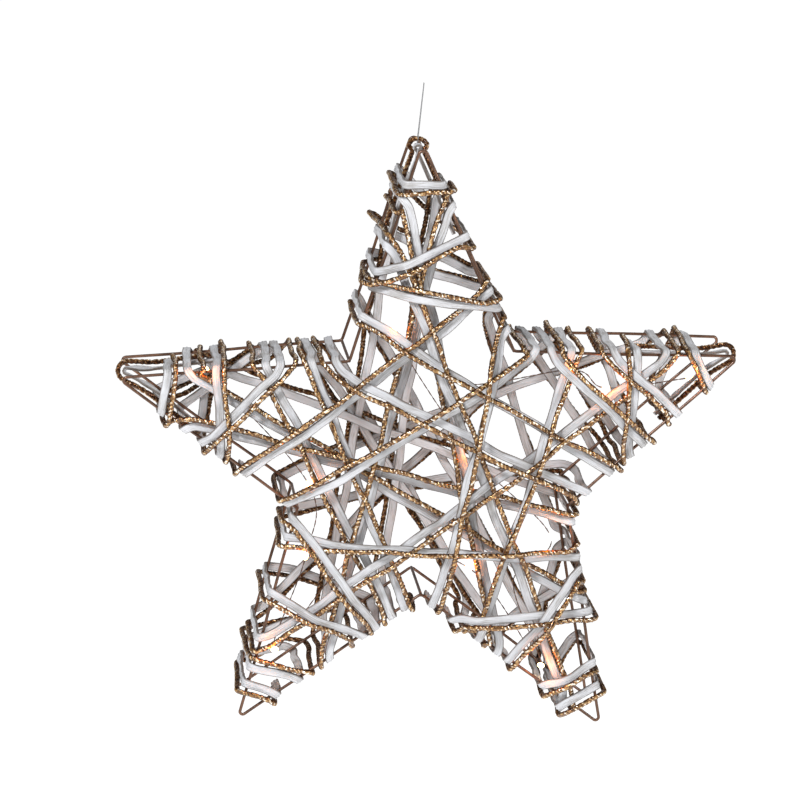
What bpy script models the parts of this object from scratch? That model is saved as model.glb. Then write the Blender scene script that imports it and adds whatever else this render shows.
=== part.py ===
"""Hanging star ornament: two bent wire stars, wound with paper cord and gold cord, with micro lights inside.

Metres, +Z up. The star lies in the XZ plane and faces -Y. The origin is the top bend of the hanging loop,
where a hook would hold it. Plan positions are (x, z) from the star's centre, heights are measured from the
star's middle plane towards the front or the back.
"""
import math

import bmesh
import bpy
import numpy as np
from mathutils import Vector

# The wire frame: a front and a back star of one bent wire each, tied at the inner corners by short rods.
STAR_RADIUS = 0.2150
WIRE_DIAMETER = 0.0020
INNER_BEND_RADIUS = 0.0030
TIP_BEND_STEPS = 4
INNER_BEND_STEPS = 2
HALF_DEPTH_AT_TIPS = 0.0370
HALF_DEPTH_AT_INNER_CORNERS = 0.0390
TOUCH_GAP = 0.0003

# The star is bent by hand, so each corner has its own angle (degrees) and its share of the star's radius,
# and each tip its own bend radius.
TIPS = {
    "top": (91.0, 0.985, 0.0030),
    "right": (19.7, 0.993, 0.0025),
    "low_right": (303.5, 0.946, 0.0020),
    "low_left": (232.6, 0.942, 0.0018),
    "left": (162.2, 0.966, 0.0022),
}
INNER_CORNERS = {
    "upper_right": (54.8, 0.442),
    "right": (345.2, 0.432),
    "bottom": (266.6, 0.374),
    "lower_left": (195.0, 0.404),
    "upper_left": (124.8, 0.411),
}
# Each edge runs from an inner corner to a tip.
EDGES = {
    "top_left": ("upper_left", "top"),
    "top_right": ("upper_right", "top"),
    "right_top": ("upper_right", "right"),
    "right_low": ("right", "right"),
    "low_right_outer": ("right", "low_right"),
    "low_right_inner": ("bottom", "low_right"),
    "low_left_inner": ("bottom", "low_left"),
    "low_left_outer": ("lower_left", "low_left"),
    "left_low": ("lower_left", "left"),
    "left_top": ("upper_left", "left"),
}
OUTLINE = [
    ("tip", "top"), ("inner", "upper_right"), ("tip", "right"), ("inner", "right"),
    ("tip", "low_right"), ("inner", "bottom"), ("tip", "low_left"), ("inner", "lower_left"),
    ("tip", "left"), ("inner", "upper_left"),
]

# The two cords lie side by side: a flat paper cord and a round gold cord.
PAPER_WIDTH = 0.0054
PAPER_THICKNESS = 0.0018
GOLD_DIAMETER = 0.0028
CROSSING_GAP = 0.0005
WIRE_GAP = 0.0006
CORD_SPACING = (PAPER_WIDTH + GOLD_DIAMETER) / 2 + CROSSING_GAP
SAMPLE_STEP = 0.0015
BEND_TOLERANCE = 0.00035
SHALLOWEST_SINE = 0.5
# A cord that meets a wire at a slant turns in plan before it crosses, at most this slanted, this far in.
STEEPEST_LEAN = 0.6
TURN_IN = 0.0045
# A cord bends over a wire at two points, this many degrees from straight ahead. The lean goes on for the
# first part of the bend only, a share of its radius.
BEND_ANGLES = (20.0, 70.0)
LEAN_REACH = 0.5
FLATTEST_MEETING = 0.05

# Turns of the winding, in the order in which they were laid. Each entry is a place on the wire, as an edge
# and a share of its length from the inner corner, and the side on which the gold cord lies (1 is the right
# hand of the winder). The cord crosses the front to the second place, the back to the third, and so on.
WINDING = {
    "body_long": [
        ("low_right_outer", 0.428, 1), ("left_top", 0.688, 1),
        ("low_right_outer", 0.065, 1), ("left_low", 0.624, 1),
        ("left_top", 0.354, 1), ("low_left_inner", 0.158, 1),
        ("top_right", 0.695, 1), ("low_left_inner", 0.500, 1),
        ("top_left", 0.740, 1), ("low_right_inner", 0.426, 1),
        ("left_top", 0.158, 1), ("low_left_inner", 0.095, -1),
    ],
    "body_cross": [
        ("left_low", 0.285, -1), ("top_right", 0.284, -1),
        ("top_left", 0.530, -1), ("low_right_inner", 0.782, -1),
        ("top_left", 0.211, 1), ("right_low", 0.237, -1),
        ("right_top", 0.090, 1), ("left_low", 0.045, 1),
        ("right_top", 0.658, -1), ("low_left_outer", 0.610, -1),
        ("right_top", 0.244, -1), ("low_right_inner", 0.317, 1),
        ("left_top", 0.057, 1), ("right_low", 0.098, 1),
        ("low_left_outer", 0.136, 1), ("low_right_outer", 0.232, -1),
        ("top_right", 0.091, 1), ("low_right_inner", 0.068, -1),
    ],
    "right_arm": [
        ("right_top", 0.535, 1), ("right_low", 0.358, 1),
        ("right_top", 0.167, -1), ("right_low", 0.429, -1),
        ("right_top", 0.442, 1), ("right_low", 0.634, 1),
        ("right_top", 0.806, 1), ("right_low", 0.818, 1),
    ],
    "left_arm": [
        ("left_low", 0.434, 1), ("left_top", 0.570, 1),
        ("left_low", 0.526, 1), ("left_top", 0.304, 1),
        ("left_low", 0.752, 1), ("left_top", 0.784, 1),
    ],
    "low_left_arm": [
        ("low_left_outer", 0.047, 1), ("low_left_inner", 0.247, 1),
        ("low_left_outer", 0.405, 1), ("low_left_inner", 0.326, 1),
        ("low_left_outer", 0.750, -1), ("low_left_inner", 0.676, -1),
        ("low_left_outer", 0.835, 1), ("low_left_inner", 0.800, 1),
    ],
    "low_right_arm": [
        ("low_right_inner", 0.184, 1), ("low_right_outer", 0.472, 1),
        ("low_right_inner", 0.493, 1), ("low_right_outer", 0.289, 1),
        ("low_right_inner", 0.690, 1), ("low_right_outer", 0.716, 1),
        ("low_right_inner", 0.815, 1), ("low_right_outer", 0.825, 1),
    ],
    "top_arm": [
        ("top_left", 0.345, -1), ("top_right", 0.210, -1),
        ("top_left", 0.412, 1), ("top_right", 0.553, 1),
        ("top_left", 0.807, 1), ("top_right", 0.798, 1),
    ],
}

# Both cords also run out along the edges of three arms, between the two wires, and round the tip, with the
# gold cord outside and room for the hanging loop between them. Each arch has its two edges, how far along
# them it is still tucked under the winding, and its heights at both ends, as shares of the half depth.
TIP_ARCHES = {
    "left": (("left_top", "left_low"), 0.835, (0.78, -0.78)),
    "right": (("right_top", "right_low"), 0.850, (-0.10, -0.60)),
    "top": (("top_left", "top_right"), 0.930, (0.45, -0.35)),
}
ARCH_RISE = 0.0035
ARCH_SPACING = 0.0041
ARCH_INSET = 0.0004
ARCH_FOOT_SHARE = 0.55
ARCH_SWEEP = (-75.0, -45.0, -15.0, 15.0, 45.0, 75.0)

# Micro lights: clear beads on a lacquered wire, which runs through the cage. Each place is (x, y, z) from
# the star's centre, as shares of the star's radius, half depth and radius, and whether a bead sits there or
# the wire only bends.
BEAD_LENGTH = 0.0052
BEAD_DIAMETER = 0.0036
LIGHT_WIRE_DIAMETER = 0.0009
LIGHT_ROUTE = [
    (-0.656, -0.36, 0.298, True), (-0.353, -0.62, -0.047, True), (-0.363, -0.56, -0.270, True),
    (-0.456, -0.31, -0.567, True), (-0.195, -0.38, -0.270, False), (0.126, -0.72, -0.307, True),
    (0.353, -0.41, -0.628, True), (0.270, -0.26, -0.372, False), (0.377, -0.56, -0.223, True),
    (0.140, -0.77, 0.037, True), (-0.098, -0.67, 0.414, True), (0.102, -0.26, 0.242, False),
    (0.437, -0.56, 0.288, True), (0.540, -0.59, 0.233, True), (0.800, -0.31, 0.251, True),
]

# Hanging loop of clear line, round the gold cord at the top of its arch over the top tip.
LOOP_LINE_DIAMETER = 0.0006
LOOP_TOP_HALF_WIDTH = 0.0012
LOOP_END_GAP = 0.0010
LOOP_POINTS_PER_STRETCH = 3

# The star's centre hangs this far below the top bend of the loop.
CENTRE_HEIGHT = -0.2450

COLLECTION_NAME = "star_lantern"


def plan(angle, radius):
    """A plan position from an angle in degrees and a radius."""
    turn = math.radians(angle)
    return np.array([radius * math.cos(turn), radius * math.sin(turn)])


def tip_at(name):
    angle, share, _ = TIPS[name]
    return plan(angle, share * STAR_RADIUS)


def inner_at(name):
    angle, share = INNER_CORNERS[name]
    return plan(angle, share * STAR_RADIUS)


def edge_frame(name):
    """Start, end, unit direction, outward normal and length of an edge, in plan."""
    inner, tip = EDGES[name]
    start, end = inner_at(inner), tip_at(tip)
    length = np.linalg.norm(end - start)
    along = (end - start) / length
    outward = np.array([along[1], -along[0]])
    axis = tip_at(tip) / np.linalg.norm(tip_at(tip))
    middle = (start + end) / 2
    if outward @ (middle - axis * (middle @ axis)) < 0:
        outward = -outward
    return start, end, along, outward, length


def wire_depth(share):
    """How far the wire's centre stands from the middle plane, at a share of an edge."""
    return HALF_DEPTH_AT_INNER_CORNERS + (HALF_DEPTH_AT_TIPS - HALF_DEPTH_AT_INNER_CORNERS) * share


def world(point, height):
    """A plan position and a signed height (front is negative) as a world position."""
    return Vector((point[0], height, point[1] + CENTRE_HEIGHT))


def material(name, colour, roughness, metallic=0.0, emission=0.0):
    made = bpy.data.materials.new(name)
    made.use_nodes = True
    shader = made.node_tree.nodes["Principled BSDF"]
    shader.inputs["Base Color"].default_value = (*colour, 1.0)
    shader.inputs["Roughness"].default_value = roughness
    shader.inputs["Metallic"].default_value = metallic
    shader.inputs["Emission Color"].default_value = (*colour, 1.0)
    shader.inputs["Emission Strength"].default_value = emission
    return made


def add_object(name, data, finish, collection):
    made = bpy.data.objects.new(name, data)
    data.materials.append(finish)
    collection.objects.link(made)
    return made


def tube(name, points, diameter, finish, collection, closed=False, resolution=0):
    """A wire or line: a poly curve through the points, with a round bevel."""
    data = bpy.data.curves.new(name, "CURVE")
    data.dimensions = "3D"
    data.bevel_depth = diameter / 2
    data.bevel_resolution = resolution
    data.use_fill_caps = True
    spline = data.splines.new("POLY")
    spline.points.add(len(points) - 1)
    for target, point in zip(spline.points, points):
        target.co = (*point, 1.0)
    spline.use_cyclic_u = closed
    return add_object(name, data, finish, collection)


def bent_outline(side):
    """The points of one wire star: straight edges, with a round bend at each corner."""
    corners = [tip_at(name) if kind == "tip" else inner_at(name) for kind, name in OUTLINE]
    points = []
    for index, (kind, name) in enumerate(OUTLINE):
        before, here = corners[index - 1], corners[index]
        after = corners[(index + 1) % len(corners)]
        to_before = (before - here) / np.linalg.norm(before - here)
        to_after = (after - here) / np.linalg.norm(after - here)
        half_angle = math.acos(max(-1.0, min(1.0, float(to_before @ to_after)))) / 2
        is_tip = kind == "tip"
        radius = TIPS[name][2] if is_tip else INNER_BEND_RADIUS
        middle = (to_before + to_after) / np.linalg.norm(to_before + to_after)
        centre = here + middle * radius / math.sin(half_angle)
        first = here + to_before * radius / math.tan(half_angle) - centre
        last = here + to_after * radius / math.tan(half_angle) - centre
        depth = HALF_DEPTH_AT_TIPS if is_tip else HALF_DEPTH_AT_INNER_CORNERS
        steps = TIP_BEND_STEPS if is_tip else INNER_BEND_STEPS
        for step in range(steps + 1):
            share = step / steps
            arm = first * (1 - share) + last * share
            arm = arm / np.linalg.norm(arm) * radius
            points.append(world(centre + arm, side * depth))
    return points


class Strand:
    """A straight stretch of cord or wire in plan, with its heights along it."""

    def __init__(self, start, end, stations, heights, width, thickness):
        self.start = start
        self.length = np.linalg.norm(end - start)
        self.along = (end - start) / self.length
        self.stations = stations
        self.heights = heights
        self.width = width
        self.thickness = thickness


def wire_strands():
    """The wires of one face, as what the first cords lie on."""
    strands = {}
    for name in EDGES:
        start, end, _, _, length = edge_frame(name)
        strands[name] = Strand(start, end, np.array([0.0, length]), np.array([wire_depth(0), wire_depth(1)]),
                               WIRE_DIAMETER, WIRE_DIAMETER)
    return strands


def needed_heights(points, along, width, thickness, laid):
    """How high a cord's centre has to be at each sampled plan position, to lie on what is there."""
    needed = np.full(len(points), -1.0)
    across = np.array([along[1], -along[0]])
    for old in laid:
        cosine = abs(float(along @ old.along))
        reach = abs(float(across @ old.along)) * width / 2
        offset = points - old.start
        station = offset @ old.along
        aside = np.abs(offset[:, 0] * old.along[1] - offset[:, 1] * old.along[0])
        near = aside < old.width / 2 + cosine * width / 2 + SAMPLE_STEP / 3 + CROSSING_GAP
        near &= (station > -reach - width / 2) & (station < old.length + reach + width / 2)
        if not near.any():
            continue
        top = np.maximum.reduce([
            np.interp(station + shift, old.stations, old.heights) for shift in (-reach, 0.0, reach)
        ])
        lift = (old.thickness + thickness) / 2 + CROSSING_GAP
        needed = np.where(near, np.maximum(needed, top + lift), needed)
    return needed


def taut(stations, needed):
    """The upper hull of the needed heights: the line of a cord pulled tight over what it crosses.

    Bends smaller than the tolerance are left out, which lowers the line by no more than that."""
    kept = []
    for station, height in zip(stations, needed):
        if height < 0:
            continue
        while len(kept) > 1:
            (s0, h0), (s1, h1) = kept[-2], kept[-1]
            if (h1 - h0) * (station - s0) <= (height - h0) * (s1 - s0) + 1e-9:
                kept.pop()
            else:
                break
        kept.append((station, height))
    line = [kept[0]]
    for index in range(1, len(kept) - 1):
        (s0, h0), (s1, h1), (s2, h2) = line[-1], kept[index], kept[index + 1]
        if h1 - (h0 + (h2 - h0) * (s1 - s0) / (s2 - s0)) > BEND_TOLERANCE:
            line.append(kept[index])
    return [*line, kept[-1]]


def cord_places(turns, is_gold):
    """Plan positions of a cord's places on the wires. The gold cord's lie beside the paper cord's."""
    frames = [edge_frame(edge) for edge, _, _ in turns]
    paper = [frame[0] + frame[2] * frame[4] * share for frame, (_, share, _) in zip(frames, turns)]
    if not is_gold:
        return paper, [share for _, share, _ in turns]
    places, shares = [], []
    for index, (frame, (_, share, side)) in enumerate(zip(frames, turns)):
        _, _, along, outward, length = frame
        sines = []
        for other in (index - 1, index + 1):
            if 0 <= other < len(turns):
                chord = paper[other] - paper[index]
                sines.append(abs(float(chord @ outward)) / np.linalg.norm(chord))
        spread = CORD_SPACING / max(min(sines), SHALLOWEST_SINE)
        to_back = 1 if index % 2 == 1 else -1
        right = np.array([outward[1], -outward[0]]) * to_back
        shift = side * spread * math.copysign(1.0, float(right @ along))
        places.append(paper[index] + along * shift)
        shares.append(share + shift / length)
    return places, shares


def lean_at(edge, outward_chord):
    """How far a cord moves along the wire for each step across it, kept within what the wire can hold."""
    _, _, along, outward, _ = edge_frame(edge)
    lean = float(outward_chord @ along) / max(float(outward_chord @ outward), FLATTEST_MEETING)
    return max(-STEEPEST_LEAN, min(STEEPEST_LEAN, lean))


def wrap_points(place, share, edge, lean, rise, face):
    """Two points of the bend over a wire, from the face to the side, and their outward normals."""
    _, _, along, outward, _ = edge_frame(edge)
    radius = rise / math.cos(math.radians(BEND_ANGLES[1] - BEND_ANGLES[0]) / 2)
    found = []
    for degrees in BEND_ANGLES:
        sine, cosine = math.sin(math.radians(degrees)), math.cos(math.radians(degrees))
        out, up = radius * sine, radius * cosine
        point = place + outward * out + along * lean * min(out, radius * LEAN_REACH)
        normal, facing = outward * sine, cosine * face
        found.append((world(point, face * (wire_depth(share) + up)), Vector((normal[0], facing, normal[1]))))
    return found


def turns_in(turns, places, index):
    """The leans at both ends of a crossing, and the plan points where it turns to meet the wires."""
    start, end = places[index], places[index + 1]
    chord = (end - start) / np.linalg.norm(end - start)
    leans, turn_points = [], []
    for place, edge, direction in ((start, turns[index][0], -chord), (end, turns[index + 1][0], chord)):
        _, _, along, outward, _ = edge_frame(edge)
        lean = lean_at(edge, direction)
        leans.append(lean)
        turn_points.append(place - (outward + along * lean) * TURN_IN)
    return leans, turn_points


def turns_beside(turns, paper_places, index):
    """Where the gold cord turns, so that it crosses the face close beside the paper cord."""
    _, paper_turns = turns_in(turns, paper_places, index)
    along = (paper_turns[1] - paper_turns[0]) / np.linalg.norm(paper_turns[1] - paper_turns[0])
    hand = np.array([along[1], -along[0]]) * (1 if index % 2 == 0 else -1)
    return [turn + hand * CORD_SPACING * side
            for turn, side in zip(paper_turns, (turns[index][2], turns[index + 1][2]))]


def face_pass(turns, places, paper_places, shares, index, width, thickness, laid):
    """One crossing of a face: its points between the two bends, and the bends themselves."""
    face = -1 if index % 2 == 0 else 1
    least_rise = (WIRE_DIAMETER + thickness) / 2 + WIRE_GAP
    leans, turn_points = turns_in(turns, places, index)
    if places is not paper_places:
        turn_points = turns_beside(turns, paper_places, index)
    corners = [places[index], turn_points[0], turn_points[1], places[index + 1]]
    under = [old for key, old in laid[face] if key not in (turns[index][0], turns[index + 1][0])]
    stations, needed, breaks, total = [], [], [0.0], 0.0
    for first, last in zip(corners, corners[1:]):
        length = np.linalg.norm(last - first)
        along = (last - first) / length
        steps = np.linspace(0.0, length, max(3, int(length / SAMPLE_STEP)))
        needed.append(needed_heights(first + steps[:, None] * along, along, width, thickness, under))
        stations.append(steps + total)
        total += length
        breaks.append(total)
    stations, needed = np.concatenate(stations), np.concatenate(needed)
    for end_index, place_index in ((0, index), (-1, index + 1)):
        base = wire_depth(shares[place_index]) + least_rise
        needed[end_index] = max(needed[end_index], base)
    line = taut(stations, needed)
    line_stations = np.array([station for station, _ in line])
    line_heights = np.array([height for _, height in line])
    marks = sorted({round(float(mark), 6) for mark in [*line_stations[1:-1], *breaks[1:-1]]})
    body = []
    for mark in marks:
        part = 0 if mark < breaks[1] else 1 if mark < breaks[2] else 2
        share = (mark - breaks[part]) / (breaks[part + 1] - breaks[part])
        point = corners[part] * (1 - share) + corners[part + 1] * share
        body.append((point, float(np.interp(mark, line_stations, line_heights))))
    for part in range(3):
        inner = [mark for mark in marks if breaks[part] < mark < breaks[part + 1]]
        own = np.array([breaks[part], *inner, breaks[part + 1]])
        laid[face].append(("cord", Strand(corners[part], corners[part + 1], own - breaks[part],
                                          np.interp(own, line_stations, line_heights), width, thickness)))
    bends = []
    for side, place_index in ((0, index), (1, index + 1)):
        rise = line_heights[-side] - wire_depth(shares[place_index])
        edge = turns[place_index][0]
        bends.append(wrap_points(places[place_index], shares[place_index], edge, leans[side], rise, face))
    points = [(world(point, face * height), Vector((0.0, face, 0.0))) for point, height in body]
    return bends[0], points, bends[1]


def cord_route(turns, is_gold, laid):
    """The whole route of a cord: its points and the direction its flat side faces at each."""
    width = GOLD_DIAMETER if is_gold else PAPER_WIDTH
    thickness = GOLD_DIAMETER if is_gold else PAPER_THICKNESS
    paper_places, shares = cord_places(turns, False)
    places = paper_places
    if is_gold:
        places, shares = cord_places(turns, True)
    route = []
    for index in range(len(turns) - 1):
        first, points, last = face_pass(turns, places, paper_places, shares, index, width, thickness, laid)
        route.extend(reversed(first))
        route.extend(points)
        route.extend(last)
    for end in (0, -1):
        point, facing = route[end]
        tucked = (Vector((point.x, 0.0, point.z)), Vector((facing.x, 0.0, facing.z)).normalized())
        route.insert(0 if end == 0 else len(route), tucked)
    return route


def ribbon(name, route, width, thickness, finish, collection):
    """A cord swept along its route, with its flat side facing the way the route gives."""
    shape = bmesh.new()
    rings = []
    for index, (point, facing) in enumerate(route):
        before = route[max(index - 1, 0)][0]
        after = route[min(index + 1, len(route) - 1)][0]
        into = (point - before).normalized() if index else (after - point).normalized()
        out = (after - point).normalized() if index < len(route) - 1 else into
        along = (into + out).normalized()
        across = along.cross(facing).normalized()
        up = across.cross(along).normalized()
        corners = [(-0.5, -0.5), (0.5, -0.5), (0.5, 0.5), (-0.5, 0.5)]
        rings.append([
            shape.verts.new(point + across * width * a + up * thickness * b) for a, b in corners
        ])
    for first, second in zip(rings, rings[1:]):
        for corner in range(4):
            other = (corner + 1) % 4
            shape.faces.new((first[corner], second[corner], second[other], first[other]))
    shape.faces.new(rings[0])
    shape.faces.new(list(reversed(rings[-1])))
    bmesh.ops.recalc_face_normals(shape, faces=shape.faces)
    data = bpy.data.meshes.new(name)
    shape.to_mesh(data)
    shape.free()
    return add_object(name, data, finish, collection)


def add_frame(collection, finish):
    for name, side in (("front_star_wire", -1), ("back_star_wire", 1)):
        tube(name, bent_outline(side), WIRE_DIAMETER, finish, collection, closed=True)
    reach = HALF_DEPTH_AT_INNER_CORNERS - WIRE_DIAMETER / 2 - TOUCH_GAP
    for name in INNER_CORNERS:
        ends = [world(inner_at(name), -reach), world(inner_at(name), reach)]
        tube(f"depth_rod_{name}", ends, WIRE_DIAMETER, finish, collection)


def add_winding(collection, paper_finish, gold_finish):
    laid = {-1: list(wire_strands().items()), 1: list(wire_strands().items())}
    for name, turns in WINDING.items():
        paper = cord_route(turns, False, laid)
        ribbon(f"paper_cord_{name}", paper, PAPER_WIDTH, PAPER_THICKNESS, paper_finish, collection)
        gold = cord_route(turns, True, laid)
        ribbon(f"gold_cord_{name}", gold, GOLD_DIAMETER, GOLD_DIAMETER, gold_finish, collection)


def arch_route(tip, edges, tuck_share, end_heights, inwards):
    """A cord's way out along one edge of an arm, round outside the tip and back along the other edge.

    The cord keeps inwards of the gold cord's own way by the given distance."""
    legs = []
    for name in edges:
        start, _, along, outward, length = edge_frame(name)
        legs.append([(start + along * length * share - outward * (ARCH_INSET + inwards), outward)
                     for share in (ARCH_FOOT_SHARE, tuck_share)])
    corner = tip_at(tip)
    axis = corner / np.linalg.norm(corner)
    bend_radius = TIPS[tip][2]
    first_along, last_along = edge_frame(edges[0])[2], edge_frame(edges[1])[2]
    half_angle = math.acos(float(first_along @ last_along)) / 2
    centre = corner - axis * bend_radius / math.sin(half_angle)
    first_side = edge_frame(edges[0])[3]
    aside = first_side - axis * (first_side @ axis)
    aside = aside / np.linalg.norm(aside)
    bend = []
    for degrees in ARCH_SWEEP:
        turn = math.radians(degrees)
        out = axis * math.cos(turn) - aside * math.sin(turn)
        bend.append((centre + out * (bend_radius + ARCH_RISE - inwards), out))
    flat = [*legs[0], *bend, *reversed(legs[1])]
    run = np.cumsum([0.0, *(np.linalg.norm(b[0] - a[0]) for a, b in zip(flat, flat[1:]))])
    heights = np.interp(run / run[-1], (0.0, 1.0), end_heights) * HALF_DEPTH_AT_TIPS
    return [(world(point, height), Vector((out[0], 0.0, out[1]))) for (point, out), height in zip(flat, heights)]


def add_tip_arches(collection, paper_finish, gold_finish):
    """The cords round the tips. Returns the top of the gold cord's arch over the top tip."""
    highest = world((0.0, 0.0), 0.0)
    for tip, (edges, tuck_share, end_heights) in TIP_ARCHES.items():
        paper = arch_route(tip, edges, tuck_share, end_heights, ARCH_SPACING)
        ribbon(f"paper_cord_{tip}_tip", paper, PAPER_WIDTH, PAPER_THICKNESS, paper_finish, collection)
        gold = arch_route(tip, edges, tuck_share, end_heights, 0.0)
        ribbon(f"gold_cord_{tip}_tip", gold, GOLD_DIAMETER, GOLD_DIAMETER, gold_finish, collection)
        for (first, _), (last, _) in zip(gold, gold[1:]):
            highest = max(highest, first.lerp(last, 0.5), key=lambda point: point.z)
    return highest


def smooth_line(places, count):
    """Points on a smooth curve through the places, with this many steps from one place to the next."""
    points = []
    for index in range(len(places) - 1):
        before, first = places[max(index - 1, 0)], places[index]
        last, after = places[index + 1], places[min(index + 2, len(places) - 1)]
        for step in range(count):
            t = step / count
            points.append(0.5 * (2 * first + (last - before) * t
                                 + (2 * before - 5 * first + 4 * last - after) * t ** 2
                                 + (3 * first - before - 3 * last + after) * t ** 3))
    return [*points, places[-1]]


def add_loop(collection, finish, held):
    """The hanging loop: its top bend at the origin, its bottom bend round the gold cord it holds."""
    clear = GOLD_DIAMETER * math.sqrt(0.5) + TOUCH_GAP + LOOP_LINE_DIAMETER / 2
    top = Vector((0.0, 0.0, -LOOP_TOP_HALF_WIDTH))
    rise = (top - held).normalized()
    front = (Vector((0.0, -1.0, 0.0)) + rise * rise.y).normalized()
    low_front, high_front = held + front * clear, top + front * LOOP_TOP_HALF_WIDTH
    low_back, high_back = held - front * clear, top - front * LOOP_TOP_HALF_WIDTH
    last = held + (front * clear - rise * LOOP_END_GAP).normalized() * clear
    places = [
        low_front, low_front.lerp(high_front, 0.5), high_front, Vector((0.0, 0.0, 0.0)),
        high_back, high_back.lerp(low_back, 0.5), low_back, held - rise * clear, last,
    ]
    line = smooth_line(places, LOOP_POINTS_PER_STRETCH)
    tube("hanging_loop", line, LOOP_LINE_DIAMETER, finish, collection, resolution=2)


def add_lights(collection, bead_finish, wire_finish):
    places = [world((x * STAR_RADIUS, z * STAR_RADIUS), y * HALF_DEPTH_AT_INNER_CORNERS)
              for x, y, z, _ in LIGHT_ROUTE]
    lit = [index for index, (_, _, _, is_lit) in enumerate(LIGHT_ROUTE) if is_lit]
    for number, index in enumerate(lit):
        shape = bmesh.new()
        bmesh.ops.create_uvsphere(shape, u_segments=6, v_segments=4, radius=0.5)
        after = places[min(index + 1, len(places) - 1)]
        before = places[max(index - 1, 0)]
        turn = (after - before).to_track_quat("Z", "Y").to_matrix()
        for vertex in shape.verts:
            x, y, z = vertex.co
            vertex.co = places[index] + turn @ Vector((x * BEAD_DIAMETER, y * BEAD_DIAMETER, z * BEAD_LENGTH))
        name = f"micro_light_{number + 1:02d}"
        data = bpy.data.meshes.new(name)
        shape.to_mesh(data)
        shape.free()
        add_object(name, data, bead_finish, collection)
    clear = BEAD_LENGTH / 2 + TOUCH_GAP + LIGHT_WIRE_DIAMETER / 2
    for number, (first, last) in enumerate(zip(lit, lit[1:])):
        points = places[first:last + 1]
        points[0] = points[0] + (points[1] - points[0]).normalized() * clear
        points[-1] = points[-1] + (points[-2] - points[-1]).normalized() * clear
        tube(f"light_wire_{number + 1:02d}", points, LIGHT_WIRE_DIAMETER, wire_finish, collection)


def main():
    for old in list(bpy.data.objects):
        bpy.data.objects.remove(old, do_unlink=True)
    collection = bpy.data.collections.new(COLLECTION_NAME)
    bpy.context.scene.collection.children.link(collection)
    wire = material("copper_brown_wire", (0.28, 0.15, 0.10), 0.4, 0.8)
    paper = material("white_paper_cord", (0.80, 0.79, 0.78), 0.75)
    gold = material("gold_glitter_cord", (0.55, 0.40, 0.18), 0.4, 0.7)
    bead = material("lit_bead", (1.0, 0.62, 0.25), 0.2, 0.0, 3.0)
    line = material("clear_line", (0.85, 0.85, 0.83), 0.2)
    add_frame(collection, wire)
    add_winding(collection, paper, gold)
    arch_top = add_tip_arches(collection, paper, gold)
    add_loop(collection, line, arch_top)
    add_lights(collection, bead, wire)


main()
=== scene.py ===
"""The hanging star as it looks: wire stars, paper cord and gold cord, micro lights and the hanging loop."""

import math

import bpy
import numpy as np
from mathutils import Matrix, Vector

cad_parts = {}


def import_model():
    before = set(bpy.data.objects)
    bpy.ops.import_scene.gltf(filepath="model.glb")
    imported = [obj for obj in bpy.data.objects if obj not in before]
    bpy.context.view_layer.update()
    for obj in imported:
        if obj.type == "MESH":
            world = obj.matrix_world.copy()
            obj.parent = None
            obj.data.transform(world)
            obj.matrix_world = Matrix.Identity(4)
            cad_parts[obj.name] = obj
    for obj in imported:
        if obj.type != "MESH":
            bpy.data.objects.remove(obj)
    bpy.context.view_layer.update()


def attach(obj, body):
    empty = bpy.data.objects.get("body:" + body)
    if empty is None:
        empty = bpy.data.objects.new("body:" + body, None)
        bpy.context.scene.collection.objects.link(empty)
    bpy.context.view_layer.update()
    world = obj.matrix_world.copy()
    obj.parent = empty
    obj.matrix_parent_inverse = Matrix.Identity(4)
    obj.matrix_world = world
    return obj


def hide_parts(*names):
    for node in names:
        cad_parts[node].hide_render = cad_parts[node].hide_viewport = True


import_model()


# The camera stands a little to the left of the star and above it, as in the photograph, on a long lens.
# The floor is a plain pale sheet far below. Soft white boxes light the star from the front and the sides.
STAR_CENTRE = Vector((0.0, 0.0, -0.2450))
CAMERA_AZIMUTH, CAMERA_ELEVATION, CAMERA_DISTANCE = -4.72, 11.51, 2.6
CAMERA_LENS = 180.0
AIM_LEFT, AIM_UP = 0.0152, 0.0388
FLOOR_DROP, FLOOR_REACH = 0.62, 60.0

turn, rise = math.radians(CAMERA_AZIMUTH), math.radians(CAMERA_ELEVATION)
back = Vector((math.cos(rise) * math.sin(turn), -math.cos(rise) * math.cos(turn), math.sin(rise)))
right = Vector((math.cos(turn), math.sin(turn), 0.0))
aim = STAR_CENTRE - right * AIM_LEFT + back.cross(right) * AIM_UP
camera_data = bpy.data.cameras.new("photo_camera")
camera_data.lens = CAMERA_LENS
camera = bpy.data.objects.new("photo_camera", camera_data)
camera.location = STAR_CENTRE + back * CAMERA_DISTANCE
camera.rotation_mode = "QUATERNION"
camera.rotation_quaternion = (aim - camera.location).to_track_quat("-Z", "Y")
bpy.context.scene.collection.objects.link(camera)
bpy.context.scene.camera = camera
bpy.context.scene.view_settings.view_transform = "Standard"

sky = bpy.data.worlds.new("studio_white")
bpy.context.scene.world = sky
sky.use_nodes = True
sky.node_tree.nodes["Background"].inputs["Color"].default_value = (0.93, 0.96, 1.0, 1.0)
sky.node_tree.nodes["Background"].inputs["Strength"].default_value = 0.18

for name, place, size, power, colour in (
    ("key_softbox", (-0.9, -1.5, 1.1), 0.35, 36.0, (0.97, 0.98, 1.0)),
    ("side_softbox", (1.4, -1.1, 0.5), 0.25, 10.0, (1.0, 0.99, 0.97)),
    ("back_softbox", (0.3, 1.5, 0.9), 0.60, 3.0, (1.0, 0.98, 0.95)),
):
    lamp_data = bpy.data.lights.new(name, "AREA")
    lamp_data.size = size
    lamp_data.energy = power
    lamp_data.color = colour
    lamp = bpy.data.objects.new(name, lamp_data)
    lamp.location = place
    lamp.rotation_mode = "QUATERNION"
    lamp.rotation_quaternion = (STAR_CENTRE - lamp.location).to_track_quat("-Z", "Y")
    bpy.context.scene.collection.objects.link(lamp)


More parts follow.
